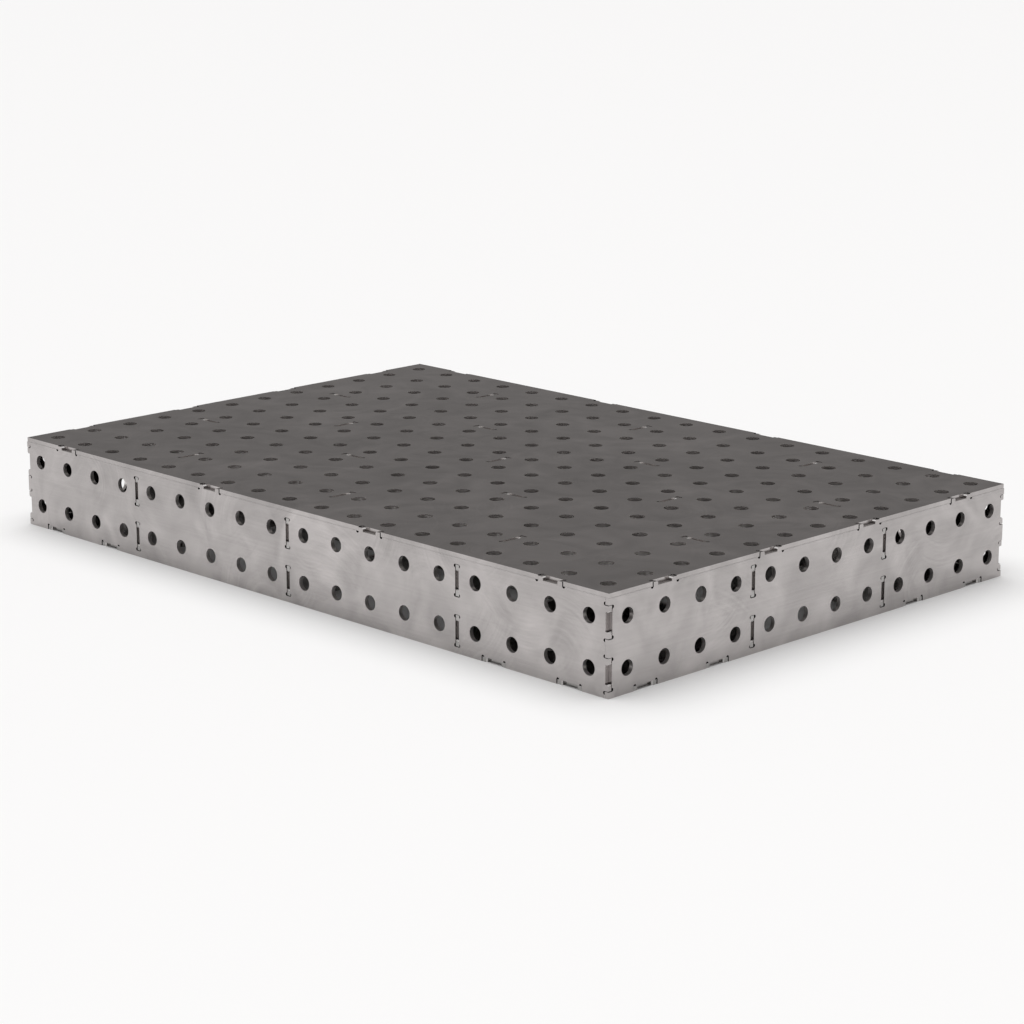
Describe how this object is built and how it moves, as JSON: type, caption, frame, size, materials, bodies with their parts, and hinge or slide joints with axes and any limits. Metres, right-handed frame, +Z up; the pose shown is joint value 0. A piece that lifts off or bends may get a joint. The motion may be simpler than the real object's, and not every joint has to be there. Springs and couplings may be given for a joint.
{
  "type": "welding table",
  "caption": "Low rectangular welding table block of interlocking steel plates, with a grid of clamping holes in its top and sides.",
  "frame": {"origin": "middle of the underside", "axes": "+X along the longer side, +Y towards the back, +Z up out of the work surface"},
  "size_m": [0.9144, 0.6096, 0.1016],
  "materials": {
    "top_steel": "dark hot-rolled steel, lightly ground, faint cloudy marks",
    "side_steel": "pale ground steel with soft swirled sanding marks",
    "rib_steel": "plain laser-cut steel"
  },
  "bodies": {
    "root": {"top_plate": "top_steel", "front_side": "side_steel", "back_side": "side_steel", "left_end": "side_steel", "right_end": "side_steel", "cross_rib_left": "rib_steel", "cross_rib_middle": "rib_steel", "cross_rib_right": "rib_steel", "long_rib_front": "rib_steel", "long_rib_back": "rib_steel", "corner_plate_front_left": "rib_steel", "corner_plate_front_right": "rib_steel", "corner_plate_back_left": "rib_steel", "corner_plate_back_right": "rib_steel"}
  },
  "joints": []
}
